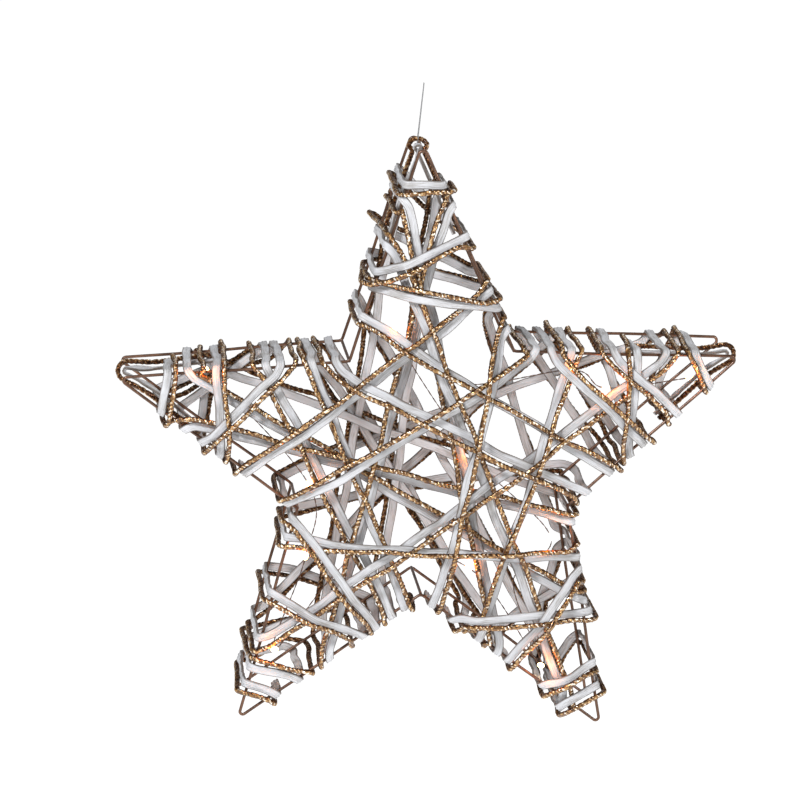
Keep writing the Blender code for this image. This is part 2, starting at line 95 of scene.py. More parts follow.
def new_finish(name, settings):
    """A material with these plain values on its shader's own sockets. Returns it and its nodes."""
    finish = bpy.data.materials.new(name)
    finish.use_nodes = True
    for socket, value in settings.items():
        finish.node_tree.nodes["Principled BSDF"].inputs[socket].default_value = value
    return finish, finish.node_tree


floor_data = bpy.data.meshes.new("pale_floor")
floor_height = STAR_CENTRE.z - FLOOR_DROP
floor_data.from_pydata(
    [(x * FLOOR_REACH, y * FLOOR_REACH, floor_height) for x, y in ((-1, -1), (1, -1), (1, 1), (-1, 1))],
    [], [(0, 1, 2, 3)])
floor = bpy.data.objects.new("pale_floor", floor_data)
bpy.context.scene.collection.objects.link(floor)
floor_finish, _ = new_finish("pale_floor", {
    "Base Color": (0.5, 0.5, 0.5, 1.0), "Roughness": 0.9,
    "Emission Color": (1.0, 1.0, 1.0, 1.0), "Emission Strength": 0.95})
floor_data.materials.append(floor_finish)


# The frame is two stars of one bent steel wire each, lacquered copper brown, with a round bend at every
# corner. Five short rods of the same wire hold them apart at the inner corners, where they are welded.
STAR_RADIUS = 0.2150
WIRE_DIAMETER = 0.0020
INNER_BEND_RADIUS = 0.0030
TIP_BEND_STEPS = 10
INNER_BEND_STEPS = 5
HALF_DEPTH_AT_TIPS = 0.0370
HALF_DEPTH_AT_INNER_CORNERS = 0.0390
EDGE_POINT_STEP = 0.006
WIRE_WAVER = 0.0005
TIPS = {
    "top": (91.0, 0.985, 0.0030),
    "right": (19.7, 0.993, 0.0025),
    "low_right": (303.5, 0.946, 0.0020),
    "low_left": (232.6, 0.942, 0.0018),
    "left": (162.2, 0.966, 0.0022),
}
INNER_CORNERS = {
    "upper_right": (54.8, 0.442),
    "right": (345.2, 0.432),
    "bottom": (266.6, 0.374),
    "lower_left": (195.0, 0.404),
    "upper_left": (124.8, 0.411),
}
OUTLINE = [
    ("tip", "top"), ("inner", "upper_right"), ("tip", "right"), ("inner", "right"),
    ("tip", "low_right"), ("inner", "bottom"), ("tip", "low_left"), ("inner", "lower_left"),
    ("tip", "left"), ("inner", "upper_left"),
]


def plan(angle, radius):
    """A plan position from an angle in degrees and a radius."""
    return np.array([radius * math.cos(math.radians(angle)), radius * math.sin(math.radians(angle))])


def tip_at(name):
    angle, share, _ = TIPS[name]
    return plan(angle, share * STAR_RADIUS)


def inner_at(name):
    angle, share = INNER_CORNERS[name]
    return plan(angle, share * STAR_RADIUS)


def world(point, height):
    """A plan position and a signed height (front is negative) as a world position."""
    return Vector((point[0], height, point[1] + STAR_CENTRE.z))


def bent_outline(side):
    """The points of one wire star: long edges that waver a little, with a round bend at each corner."""
    corners = [tip_at(name) if kind == "tip" else inner_at(name) for kind, name in OUTLINE]
    points = []
    for index, (kind, name) in enumerate(OUTLINE):
        before, here = corners[index - 1], corners[index]
        after = corners[(index + 1) % len(corners)]
        to_before = (before - here) / np.linalg.norm(before - here)
        to_after = (after - here) / np.linalg.norm(after - here)
        half_angle = math.acos(max(-1.0, min(1.0, float(to_before @ to_after)))) / 2
        is_tip = kind == "tip"
        radius = TIPS[name][2] if is_tip else INNER_BEND_RADIUS
        middle = (to_before + to_after) / np.linalg.norm(to_before + to_after)
        centre = here + middle * radius / math.sin(half_angle)
        first = here + to_before * radius / math.tan(half_angle) - centre
        last = here + to_after * radius / math.tan(half_angle) - centre
        depth = HALF_DEPTH_AT_TIPS if is_tip else HALF_DEPTH_AT_INNER_CORNERS
        steps = TIP_BEND_STEPS if is_tip else INNER_BEND_STEPS
        for step in range(steps + 1):
            share = step / steps
            arm = first * (1 - share) + last * share
            arm = arm / np.linalg.norm(arm) * radius
            points.append(world(centre + arm, side * depth))
    filled = []
    for index, point in enumerate(points):
        following = points[(index + 1) % len(points)]
        reach = (following - point).length
        count = max(1, int(reach / EDGE_POINT_STEP))
        sideways = (following - point).normalized().cross(Vector((0.0, 1.0, 0.0)))
        for step in range(count):
            share = step / count
            waver = WIRE_WAVER * math.sin(math.pi * share) * math.sin(5 * share + index + side)
            filled.append(point.lerp(following, share) + sideways * (waver if count > 3 else 0.0))
    return filled


def smooth_line(places, count):
    """Points on a smooth curve through the places, with this many steps from one place to the next."""
    points = []
    for index in range(len(places) - 1):
        before, first = places[max(index - 1, 0)], places[index]
        last, after = places[index + 1], places[min(index + 2, len(places) - 1)]
        for step in range(count):
            t = step / count
            points.append(0.5 * (2 * first + (last - before) * t
                                 + (2 * before - 5 * first + 4 * last - after) * t ** 2
                                 + (3 * first - before - 3 * last + after) * t ** 3))
    return [*points, places[-1]]


def path_of(name, points, closed=False, facings=None):
    """A mesh of edges only, for a Geometry Nodes tree to sweep. It carries each point's distance along it."""
    data = bpy.data.meshes.new(name)
    edges = [(index, index + 1) for index in range(len(points) - 1)]
    if closed:
        edges.append((len(points) - 1, 0))
    data.from_pydata([tuple(point) for point in points], edges, [])
    steps = np.linalg.norm(np.diff(np.array([tuple(point) for point in points]), axis=0), axis=1)
    run = data.attributes.new("run", "FLOAT", "POINT")
    run.data.foreach_set("value", np.concatenate([[0.0], np.cumsum(steps)]).astype(np.float32))
    if facings is not None:
        facing = data.attributes.new("facing", "FLOAT_VECTOR", "POINT")
        facing.data.foreach_set("vector", np.array(facings, np.float32).ravel())
    made = bpy.data.objects.new(name, data)
    bpy.context.scene.collection.objects.link(made)
    return made


def new_tree(name, sizes):
    """A Geometry Nodes tree whose inputs are a path, these named sizes and a finish."""
    tree = bpy.data.node_groups.new(name, "GeometryNodeTree")
    tree.interface.new_socket("Path", in_out="INPUT", socket_type="NodeSocketGeometry")
    for size, value in sizes.items():
        kind = "NodeSocketInt" if isinstance(value, int) else "NodeSocketFloat"
        tree.interface.new_socket(size, in_out="INPUT", socket_type=kind).default_value = value
    tree.interface.new_socket("Finish", in_out="INPUT", socket_type="NodeSocketMaterial")
    tree.interface.new_socket("Piece", in_out="OUTPUT", socket_type="NodeSocketGeometry")
    return tree, tree.nodes.new("NodeGroupInput")


def add_node(tree, kind, links=(), **settings):
    """A node with its settings made, and its inputs joined to sockets or set to plain values."""
    node = tree.nodes.new(kind)
    for setting, value in settings.items():
        setattr(node, setting, value)
    for socket, value in dict(links).items():
        if isinstance(value, bpy.types.NodeSocket):
            tree.links.new(value, node.inputs[socket])
        else:
            node.inputs[socket].default_value = value
    return node


def maths(tree, operation, *values):
    """One step of arithmetic on sockets or plain values. Returns the socket with its result."""
    return add_node(tree, "ShaderNodeMath", dict(enumerate(values)), operation=operation).outputs[0]


def tinted(tree, shade, *tones):
    """The colour that a shade takes on a ramp of tones, each a place on the ramp and a colour."""
    ramp = add_node(tree, "ShaderNodeValToRGB", {"Fac": shade})
    stops = ramp.color_ramp.elements
    for stop, (place, colour) in ((stops[0], tones[0]), (stops[1], tones[-1])):
        stop.position = place
        stop.color = (*colour, 1.0)
    for place, colour in tones[1:-1]:
        stops.new(place).color = (*colour, 1.0)
    return ramp.outputs["Color"]


def join_shader(nodes, joins):
    """Joins these sockets to the shader's inputs."""
    for socket, value in joins.items():
        nodes.links.new(value, nodes.nodes["Principled BSDF"].inputs[socket])


def end_tree(tree, given, geometry):
    """Smooth shading, the material, and real geometry at the end of the tree."""
    smooth = add_node(tree, "GeometryNodeSetShadeSmooth", {"Geometry": geometry})
    finished = add_node(tree, "GeometryNodeSetMaterial",
                        {"Geometry": smooth.outputs["Geometry"], "Material": given.outputs["Finish"]})
    real = add_node(tree, "GeometryNodeRealizeInstances", {"Geometry": finished.outputs["Geometry"]})
    out = tree.nodes.new("NodeGroupOutput")
    tree.links.new(real.outputs["Geometry"], out.inputs["Piece"])


def grown_piece(name, path, tree, sizes, finish):
    """Runs the tree on the path with these sizes, and keeps the result as a plain mesh object."""
    modifier = path.modifiers.new("growth", "NODES")
    modifier.node_group = tree
    sockets = {item.name: item.identifier for item in tree.interface.items_tree if item.in_out == "INPUT"}
    for size, value in sizes.items():
        modifier[sockets[size]] = value
    modifier[sockets["Finish"]] = finish
    bpy.context.view_layer.update()
    graph = bpy.context.evaluated_depsgraph_get()
    data = bpy.data.meshes.new_from_object(path.evaluated_get(graph), preserve_all_data_layers=True,
                                           depsgraph=graph)
    data.name = name
    path.modifiers.remove(modifier)
    bpy.data.objects.remove(path)
    piece = bpy.data.objects.new(name, data)
    bpy.context.scene.collection.objects.link(piece)
    return piece


WIRE_SIZES = {"Diameter": WIRE_DIAMETER, "Sides": 12}
ROD_STEPS = 8
round_line, round_given = new_tree("round_line", WIRE_SIZES)
round_path = add_node(round_line, "GeometryNodeMeshToCurve", {"Mesh": round_given.outputs["Path"]})
round_section = add_node(round_line, "GeometryNodeCurvePrimitiveCircle", {
    "Resolution": round_given.outputs["Sides"],
    "Radius": maths(round_line, "MULTIPLY", round_given.outputs["Diameter"], 0.5)})
round_swept = add_node(round_line, "GeometryNodeCurveToMesh", {
    "Curve": round_path.outputs["Curve"], "Profile Curve": round_section.outputs["Curve"], "Fill Caps": True})
end_tree(round_line, round_given, round_swept.outputs["Mesh"])

wire_finish, wire_nodes = new_finish("copper_brown_lacquer", {
    "Metallic": 0.55, "Coat Weight": 0.35, "Coat Roughness": 0.2})
wire_place = add_node(wire_nodes, "ShaderNodeTexCoord")
wire_cloud = add_node(wire_nodes, "ShaderNodeTexNoise", {
    "Vector": wire_place.outputs["Object"], "Scale": 90.0, "Detail": 4.0, "Roughness": 0.6})
wire_colour = tinted(wire_nodes, wire_cloud.outputs["Fac"],
                     (0.35, (0.085, 0.040, 0.022)), (0.70, (0.21, 0.105, 0.060)))
wire_grain = add_node(wire_nodes, "ShaderNodeTexNoise", {
    "Vector": wire_place.outputs["Object"], "Scale": 1100.0, "Detail": 2.0})
wire_gloss = add_node(wire_nodes, "ShaderNodeMapRange", {
    "Value": wire_grain.outputs["Fac"], "To Min": 0.25, "To Max": 0.5})
wire_bump = add_node(wire_nodes, "ShaderNodeBump", {
    "Height": wire_grain.outputs["Fac"], "Strength": 0.25, "Distance": 0.0002})
join_shader(wire_nodes, {"Base Color": wire_colour, "Roughness": wire_gloss.outputs["Result"],
                         "Normal": wire_bump.outputs["Normal"]})

for name, node, side in (("front_wire", "front_star_wire", -1), ("back_wire", "back_star_wire", 1)):
    star_wire = grown_piece(name, path_of(name + "_path", bent_outline(side), closed=True), round_line,
                            WIRE_SIZES, wire_finish)
    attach(star_wire, "root")
    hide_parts(node)

for corner in INNER_CORNERS:
    reach = HALF_DEPTH_AT_INNER_CORNERS - WIRE_DIAMETER / 2
    ends = [world(inner_at(corner), reach * step / ROD_STEPS) for step in range(-ROD_STEPS, ROD_STEPS + 1)]
    rod = grown_piece("rod_" + corner, path_of("rod_path", ends), round_line, WIRE_SIZES, wire_finish)
    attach(rod, "root")
    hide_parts("depth_rod_" + corner)


# The paper cord is a strip of white paper, rolled and pressed flat, so it is creased along its length. It
# was wound round both wires under tension, so it runs straight and is lifted by every cord that it crosses.
EDGES = {
    "top_left": ("upper_left", "top"),
    "top_right": ("upper_right", "top"),
    "right_top": ("upper_right", "right"),
    "right_low": ("right", "right"),
    "low_right_outer": ("right", "low_right"),
    "low_right_inner": ("bottom", "low_right"),
    "low_left_inner": ("bottom", "low_left"),
    "low_left_outer": ("lower_left", "low_left"),
    "left_low": ("lower_left", "left"),
    "left_top": ("upper_left", "left"),
}
PAPER_WIDTH = 0.0054
PAPER_THICKNESS = 0.0018
GOLD_DIAMETER = 0.0028
CROSSING_GAP = 0.0005
WIRE_GAP = 0.0006
CORD_SPACING = (PAPER_WIDTH + GOLD_DIAMETER) / 2 + CROSSING_GAP
SAMPLE_STEP = 0.0015
BEND_TOLERANCE = 0.00035
SHALLOWEST_SINE = 0.5
# A cord that meets a wire at a slant turns in plan before it crosses, at most this slanted, this far in.
STEEPEST_LEAN = 0.6
TURN_IN = 0.0045
# A cord bends over a wire at two points, this many degrees from straight ahead. The lean goes on for the
# first part of the bend only, a share of its radius.
BEND_ANGLES = (20.0, 70.0)
LEAN_REACH = 0.5
FLATTEST_MEETING = 0.05
# Each place is an edge, a share of its length from the inner corner, and the side of the gold cord.
WINDING = {
    "body_long": [
        ("low_right_outer", 0.428, 1), ("left_top", 0.688, 1),
        ("low_right_outer", 0.065, 1), ("left_low", 0.624, 1),
        ("left_top", 0.354, 1), ("low_left_inner", 0.158, 1),
        ("top_right", 0.695, 1), ("low_left_inner", 0.500, 1),
        ("top_left", 0.740, 1), ("low_right_inner", 0.426, 1),
        ("left_top", 0.158, 1), ("low_left_inner", 0.095, -1),
    ],
    "body_cross": [
        ("left_low", 0.285, -1), ("top_right", 0.284, -1),
        ("top_left", 0.530, -1), ("low_right_inner", 0.782, -1),
        ("top_left", 0.211, 1), ("right_low", 0.237, -1),
        ("right_top", 0.090, 1), ("left_low", 0.045, 1),
        ("right_top", 0.658, -1), ("low_left_outer", 0.610, -1),
        ("right_top", 0.244, -1), ("low_right_inner", 0.317, 1),
        ("left_top", 0.057, 1), ("right_low", 0.098, 1),
        ("low_left_outer", 0.136, 1), ("low_right_outer", 0.232, -1),
        ("top_right", 0.091, 1), ("low_right_inner", 0.068, -1),
    ],
    "right_arm": [
        ("right_top", 0.535, 1), ("right_low", 0.358, 1),
        ("right_top", 0.167, -1), ("right_low", 0.429, -1),
        ("right_top", 0.442, 1), ("right_low", 0.634, 1),
        ("right_top", 0.806, 1), ("right_low", 0.818, 1),
    ],
    "left_arm": [
        ("left_low", 0.434, 1), ("left_top", 0.570, 1),
        ("left_low", 0.526, 1), ("left_top", 0.304, 1),
        ("left_low", 0.752, 1), ("left_top", 0.784, 1),
    ],
    "low_left_arm": [
        ("low_left_outer", 0.047, 1), ("low_left_inner", 0.247, 1),
        ("low_left_outer", 0.405, 1), ("low_left_inner", 0.326, 1),
        ("low_left_outer", 0.750, -1), ("low_left_inner", 0.676, -1),
        ("low_left_outer", 0.835, 1), ("low_left_inner", 0.800, 1),
    ],
    "low_right_arm": [
        ("low_right_inner", 0.184, 1), ("low_right_outer", 0.472, 1),
        ("low_right_inner", 0.493, 1), ("low_right_outer", 0.289, 1),
        ("low_right_inner", 0.690, 1), ("low_right_outer", 0.716, 1),
        ("low_right_inner", 0.815, 1), ("low_right_outer", 0.825, 1),
    ],
    "top_arm": [
        ("top_left", 0.345, -1), ("top_right", 0.210, -1),
        ("top_left", 0.412, 1), ("top_right", 0.553, 1),
        ("top_left", 0.807, 1), ("top_right", 0.798, 1),
    ],
}


def edge_frame(name):
    """Start, end, unit direction, outward normal and length of an edge, in plan."""
    inner, tip = EDGES[name]
    start, end = inner_at(inner), tip_at(tip)
    length = np.linalg.norm(end - start)
    along = (end - start) / length
    outward = np.array([along[1], -along[0]])
    axis = tip_at(tip) / np.linalg.norm(tip_at(tip))
    middle = (start + end) / 2
    if outward @ (middle - axis * (middle @ axis)) < 0:
        outward = -outward
    return start, end, along, outward, length


def wire_depth(share):
    """How far the wire's centre stands from the middle plane, at a share of an edge."""
    return HALF_DEPTH_AT_INNER_CORNERS + (HALF_DEPTH_AT_TIPS - HALF_DEPTH_AT_INNER_CORNERS) * share


class Strand:
    """A straight stretch of cord or wire in plan, with its heights along it."""

    def __init__(self, start, end, stations, heights, width, thickness):
        self.start = start
        self.length = np.linalg.norm(end - start)
        self.along = (end - start) / self.length
        self.stations = stations
        self.heights = heights
        self.width = width
        self.thickness = thickness


def wire_strands():
    """The wires of one face, as what the first cords lie on."""
    strands = {}
    for name in EDGES:
        start, end, _, _, length = edge_frame(name)
        strands[name] = Strand(start, end, np.array([0.0, length]), np.array([wire_depth(0), wire_depth(1)]),
                               WIRE_DIAMETER, WIRE_DIAMETER)
    return strands


def needed_heights(points, along, width, thickness, laid):
    """How high a cord's centre has to be at each sampled plan position, to lie on what is there."""
    needed = np.full(len(points), -1.0)
    across = np.array([along[1], -along[0]])
    for old in laid:
        cosine = abs(float(along @ old.along))
        reach = abs(float(across @ old.along)) * width / 2
        offset = points - old.start
        station = offset @ old.along
        off_line = np.abs(offset[:, 0] * old.along[1] - offset[:, 1] * old.along[0])
        near = off_line < old.width / 2 + cosine * width / 2 + SAMPLE_STEP / 3 + CROSSING_GAP
        near &= (station > -reach - width / 2) & (station < old.length + reach + width / 2)
        if not near.any():
            continue
        top = np.maximum.reduce([
            np.interp(station + shift, old.stations, old.heights) for shift in (-reach, 0.0, reach)
        ])
        lift = (old.thickness + thickness) / 2 + CROSSING_GAP
        needed = np.where(near, np.maximum(needed, top + lift), needed)
    return needed


def taut(stations, needed):
    """The upper hull of the needed heights: the line of a cord pulled tight over what it crosses."""
    kept = []
    for station, height in zip(stations, needed):
        if height < 0:
            continue
        while len(kept) > 1:
            (s0, h0), (s1, h1) = kept[-2], kept[-1]
            if (h1 - h0) * (station - s0) <= (height - h0) * (s1 - s0) + 1e-9:
                kept.pop()
            else:
                break
        kept.append((station, height))
    line = [kept[0]]
    for index in range(1, len(kept) - 1):
        (s0, h0), (s1, h1), (s2, h2) = line[-1], kept[index], kept[index + 1]
        if h1 - (h0 + (h2 - h0) * (s1 - s0) / (s2 - s0)) > BEND_TOLERANCE:
            line.append(kept[index])
    return [*line, kept[-1]]


def cord_places(turns, is_gold):
    """Plan positions of a cord's places on the wires. The gold cord's lie beside the paper cord's."""
    frames = [edge_frame(edge) for edge, _, _ in turns]
    paper = [edge[0] + edge[2] * edge[4] * share for edge, (_, share, _) in zip(frames, turns)]
    if not is_gold:
        return paper, [share for _, share, _ in turns]
    places, shares = [], []
    for index, (edge, (_, share, side)) in enumerate(zip(frames, turns)):
        _, _, along, outward, length = edge
        sines = []
        for other in (index - 1, index + 1):
            if 0 <= other < len(turns):
                chord = paper[other] - paper[index]
                sines.append(abs(float(chord @ outward)) / np.linalg.norm(chord))
        spread = CORD_SPACING / max(min(sines), SHALLOWEST_SINE)
        to_back = 1 if index % 2 == 1 else -1
        right_hand = np.array([outward[1], -outward[0]]) * to_back
        shift = side * spread * math.copysign(1.0, float(right_hand @ along))
        places.append(paper[index] + along * shift)
        shares.append(share + shift / length)
    return places, shares


def lean_at(edge, outward_chord):
    """How far a cord moves along the wire for each step across it, kept within what the wire can hold."""
    _, _, along, outward, _ = edge_frame(edge)
    lean = float(outward_chord @ along) / max(float(outward_chord @ outward), FLATTEST_MEETING)
    return max(-STEEPEST_LEAN, min(STEEPEST_LEAN, lean))


def wrap_points(place, share, edge, lean, lift, face):
    """Two points of the bend over a wire, from the face to the side, and their outward normals."""
    _, _, along, outward, _ = edge_frame(edge)
    radius = lift / math.cos(math.radians(BEND_ANGLES[1] - BEND_ANGLES[0]) / 2)
    found = []
    for degrees in BEND_ANGLES:
        sine, cosine = math.sin(math.radians(degrees)), math.cos(math.radians(degrees))
        out, up = radius * sine, radius * cosine
        point = place + outward * out + along * lean * min(out, radius * LEAN_REACH)
        normal, facing = outward * sine, cosine * face
        found.append((world(point, face * (wire_depth(share) + up)), Vector((normal[0], facing, normal[1]))))
    return found


def turns_in(turns, places, index):
    """The leans at both ends of a crossing, and the plan points where it turns to meet the wires."""
    start, end = places[index], places[index + 1]
    chord = (end - start) / np.linalg.norm(end - start)
    leans, turn_points = [], []
    for place, edge, direction in ((start, turns[index][0], -chord), (end, turns[index + 1][0], chord)):
        _, _, along, outward, _ = edge_frame(edge)
        lean = lean_at(edge, direction)
        leans.append(lean)
        turn_points.append(place - (outward + along * lean) * TURN_IN)
    return leans, turn_points


def turns_beside(turns, paper_places, index):
    """Where the gold cord turns, so that it crosses the face close beside the paper cord."""
    _, paper_turns = turns_in(turns, paper_places, index)
    along = (paper_turns[1] - paper_turns[0]) / np.linalg.norm(paper_turns[1] - paper_turns[0])
    hand = np.array([along[1], -along[0]]) * (1 if index % 2 == 0 else -1)
    return [turn + hand * CORD_SPACING * side
            for turn, side in zip(paper_turns, (turns[index][2], turns[index + 1][2]))]


def face_pass(turns, places, paper_places, shares, index, width, thickness, laid):
    """One crossing of a face: its points between the two bends, and the bends themselves."""
    face = -1 if index % 2 == 0 else 1
    least_rise = (WIRE_DIAMETER + thickness) / 2 + WIRE_GAP
    leans, turn_points = turns_in(turns, places, index)
    if places is not paper_places:
        turn_points = turns_beside(turns, paper_places, index)
    corners = [places[index], turn_points[0], turn_points[1], places[index + 1]]
    under = [old for key, old in laid[face] if key not in (turns[index][0], turns[index + 1][0])]
    stations, needed, breaks, total = [], [], [0.0], 0.0
    for first, last in zip(corners, corners[1:]):
        length = np.linalg.norm(last - first)
        along = (last - first) / length
        steps = np.linspace(0.0, length, max(3, int(length / SAMPLE_STEP)))
        needed.append(needed_heights(first + steps[:, None] * along, along, width, thickness, under))
        stations.append(steps + total)
        total += length
        breaks.append(total)
    stations, needed = np.concatenate(stations), np.concatenate(needed)
    for end_index, place_index in ((0, index), (-1, index + 1)):
        base = wire_depth(shares[place_index]) + least_rise
        needed[end_index] = max(needed[end_index], base)
    line = taut(stations, needed)
    line_stations = np.array([station for station, _ in line])
    line_heights = np.array([height for _, height in line])
    marks = sorted({round(float(mark), 6) for mark in [*line_stations[1:-1], *breaks[1:-1]]})
    body = []
    for mark in marks:
        part = 0 if mark < breaks[1] else 1 if mark < breaks[2] else 2
        share = (mark - breaks[part]) / (breaks[part + 1] - breaks[part])
        point = corners[part] * (1 - share) + corners[part + 1] * share
        body.append((point, float(np.interp(mark, line_stations, line_heights))))
    for part in range(3):
        inner = [mark for mark in marks if breaks[part] < mark < breaks[part + 1]]
        own = np.array([breaks[part], *inner, breaks[part + 1]])
        laid[face].append(("cord", Strand(corners[part], corners[part + 1], own - breaks[part],
                                          np.interp(own, line_stations, line_heights), width, thickness)))
    bends = []
    for side, place_index in ((0, index), (1, index + 1)):
        rise = line_heights[-side] - wire_depth(shares[place_index])
        edge = turns[place_index][0]
        bends.append(wrap_points(places[place_index], shares[place_index], edge, leans[side], rise, face))
    points = [(world(point, face * height), Vector((0.0, face, 0.0))) for point, height in body]
    return bends[0], points, bends[1]


def cord_route(turns, is_gold, laid):
    """The whole route of a cord: its points and the direction its flat side faces at each."""
    width = GOLD_DIAMETER if is_gold else PAPER_WIDTH
    thickness = GOLD_DIAMETER if is_gold else PAPER_THICKNESS
    paper_places, shares = cord_places(turns, False)
    places = paper_places
    if is_gold:
        places, shares = cord_places(turns, True)
    route = []
    for index in range(len(turns) - 1):
        first, points, last = face_pass(turns, places, paper_places, shares, index, width, thickness, laid)
        route.extend(reversed(first))
        route.extend(points)
        route.extend(last)
    for end in (0, -1):
        point, facing = route[end]
        tucked = (Vector((point.x, 0.0, point.z)), Vector((facing.x, 0.0, facing.z)).normalized())
        route.insert(0 if end == 0 else len(route), tucked)
    return route


TIP_ARCHES = {
    "left": (("left_top", "left_low"), 0.835, (0.78, -0.78)),
    "right": (("right_top", "right_low"), 0.850, (-0.10, -0.60)),
    "top": (("top_left", "top_right"), 0.930, (0.45, -0.35)),
}
ARCH_RISE = 0.0035
ARCH_SPACING = 0.0041
ARCH_INSET = 0.0004
ARCH_FOOT_SHARE = 0.55
ARCH_SWEEP = (-75.0, -45.0, -15.0, 15.0, 45.0, 75.0)


def arch_route(tip, edges, tuck_share, end_heights, inwards):
    """A cord's way out along one edge of an arm, round outside the tip and back along the other edge.

    The cord keeps inwards of the gold cord's own way by the given distance."""
    legs = []
    for name in edges:
        start, _, along, outward, length = edge_frame(name)
        legs.append([(start + along * length * share - outward * (ARCH_INSET + inwards), outward)
                     for share in (ARCH_FOOT_SHARE, tuck_share)])
    corner = tip_at(tip)
    axis = corner / np.linalg.norm(corner)
    bend_radius = TIPS[tip][2]
    first_along, last_along = edge_frame(edges[0])[2], edge_frame(edges[1])[2]
    half_angle = math.acos(float(first_along @ last_along)) / 2
    centre = corner - axis * bend_radius / math.sin(half_angle)
    first_side = edge_frame(edges[0])[3]
    sideways = first_side - axis * (first_side @ axis)
    sideways = sideways / np.linalg.norm(sideways)
    bend = []
    for degrees in ARCH_SWEEP:
        sweep = math.radians(degrees)
        out = axis * math.cos(sweep) - sideways * math.sin(sweep)
        bend.append((centre + out * (bend_radius + ARCH_RISE - inwards), out))
    flat = [*legs[0], *bend, *reversed(legs[1])]
    run = np.cumsum([0.0, *(np.linalg.norm(b[0] - a[0]) for a, b in zip(flat, flat[1:]))])
    heights = np.interp(run / run[-1], (0.0, 1.0), end_heights) * HALF_DEPTH_AT_TIPS
    return [(world(point, height), Vector((out[0], 0.0, out[1])))
            for (point, out), height in zip(flat, heights)]


# A cord's corners are rounded from this far before them, at most a share of the stretch on either side. A
# cord sways by the waver at the first of these wavelengths, and less at the shorter ones.
CORD_BEND = 0.010
CORD_BEND_SHARE = 0.45
CORD_BEND_STEPS = 7
CORD_WAVER = 0.0006
SWAY_LENGTHS = (0.095, 0.053, 0.031)


def soft_line(route, spacing, seed):
    """The route with round bends, evenly spaced points and the small waver of a cord laid by hand."""
    places = np.array([(*point, *facing) for point, facing in route])
    rounded = [places[0]]
    for before, here, after in zip(places, places[1:], places[2:]):
        into, out = np.linalg.norm((here - before)[:3]), np.linalg.norm((after - here)[:3])
        cut = min(CORD_BEND, CORD_BEND_SHARE * into, CORD_BEND_SHARE * out)
        first, last = here + (before - here) * cut / into, here + (after - here) * cut / out
        for t in np.linspace(0.0, 1.0, CORD_BEND_STEPS):
            rounded.append(first * (1 - t) ** 2 + here * 2 * t * (1 - t) + last * t ** 2)
    rounded = np.array([*rounded, places[-1]])
    run = np.concatenate([[0.0], np.cumsum(np.linalg.norm(np.diff(rounded[:, :3], axis=0), axis=1))])
    stations = np.linspace(0.0, run[-1], int(run[-1] / spacing))
    spaced = np.stack([np.interp(stations, run, column) for column in rounded.T], axis=1)
    line, facing = spaced[:, :3], spaced[:, 3:]
    along = np.gradient(line, axis=0)
    along /= np.linalg.norm(along, axis=1)[:, None]
    facing -= along * np.sum(facing * along, axis=1)[:, None]
    facing /= np.linalg.norm(facing, axis=1)[:, None]
    chance = np.random.default_rng(seed)
    sway = np.zeros(len(stations))
    for wavelength in SWAY_LENGTHS:
        sway += np.sin(2 * math.pi * stations / wavelength + chance.uniform(0, 2 * math.pi)) * wavelength
    return line + np.cross(along, facing) * (sway * CORD_WAVER / SWAY_LENGTHS[0])[:, None], facing


def turned_path(tree, given):
    """The path as a curve turned the way the cord faces, with its facing, its run and its seeded run."""
    path = add_node(tree, "GeometryNodeMeshToCurve", {"Mesh": given.outputs["Path"]})
    facing = add_node(tree, "GeometryNodeInputNamedAttribute", {"Name": "facing"}, data_type="FLOAT_VECTOR")
    turned = add_node(tree, "GeometryNodeSetCurveNormal", {
        "Curve": path.outputs["Curve"], "Normal": facing.outputs["Attribute"]}, mode="FREE")
    run = add_node(tree, "GeometryNodeInputNamedAttribute", {"Name": "run"}, data_type="FLOAT")
    seeded = maths(tree, "ADD", run.outputs["Attribute"], given.outputs["Seed"])
    return turned.outputs["Curve"], facing.outputs["Attribute"], run.outputs["Attribute"], seeded


def uneven(tree, seeded, scale, detail):
    """A value that rises and falls along the cord."""
    return add_node(tree, "ShaderNodeTexNoise", {"W": seeded, "Scale": scale, "Detail": detail},
                    noise_dimensions="1D").outputs["Fac"]


def swept_cord(tree, curve, tilt, noise, swell, ring, mark, depth, shape):
    """Sweeps a ring, moved to a shape and marked for the finish, along the tilted and swelling curve."""
    tilted = add_node(tree, "GeometryNodeSetCurveTilt", {"Curve": curve, "Tilt": tilt})
    radius = add_node(tree, "ShaderNodeMapRange", {
        "Value": noise, "From Min": 0.3, "From Max": 0.7, "To Min": swell[0], "To Max": swell[1]})
    swelled = add_node(tree, "GeometryNodeSetCurveRadius", {
        "Curve": tilted.outputs["Curve"], "Radius": radius.outputs["Result"]})
    circle = add_node(tree, "GeometryNodeCurvePrimitiveCircle", {"Resolution": ring[0], "Radius": ring[1]})
    marked = add_node(tree, "GeometryNodeStoreNamedAttribute", {
        "Geometry": circle.outputs["Curve"], "Name": mark, "Value": depth}, data_type="FLOAT", domain="POINT")
    section = add_node(tree, "GeometryNodeSetPosition", {
        "Geometry": marked.outputs["Geometry"], "Position": shape})
    swept = add_node(tree, "GeometryNodeCurveToMesh", {
        "Curve": swelled.outputs["Curve"], "Profile Curve": section.outputs["Geometry"], "Fill Caps": True})
    return swept.outputs["Mesh"]


PAPER_LOOK = {"Width": 0.0056, "Thickness": 0.0021, "Crease": 0.24, "Roll": 1.4, "Seed": 0.0}
PAPER_SQUARENESS = 0.55
PAPER_FOLD_PITCH = 7.2
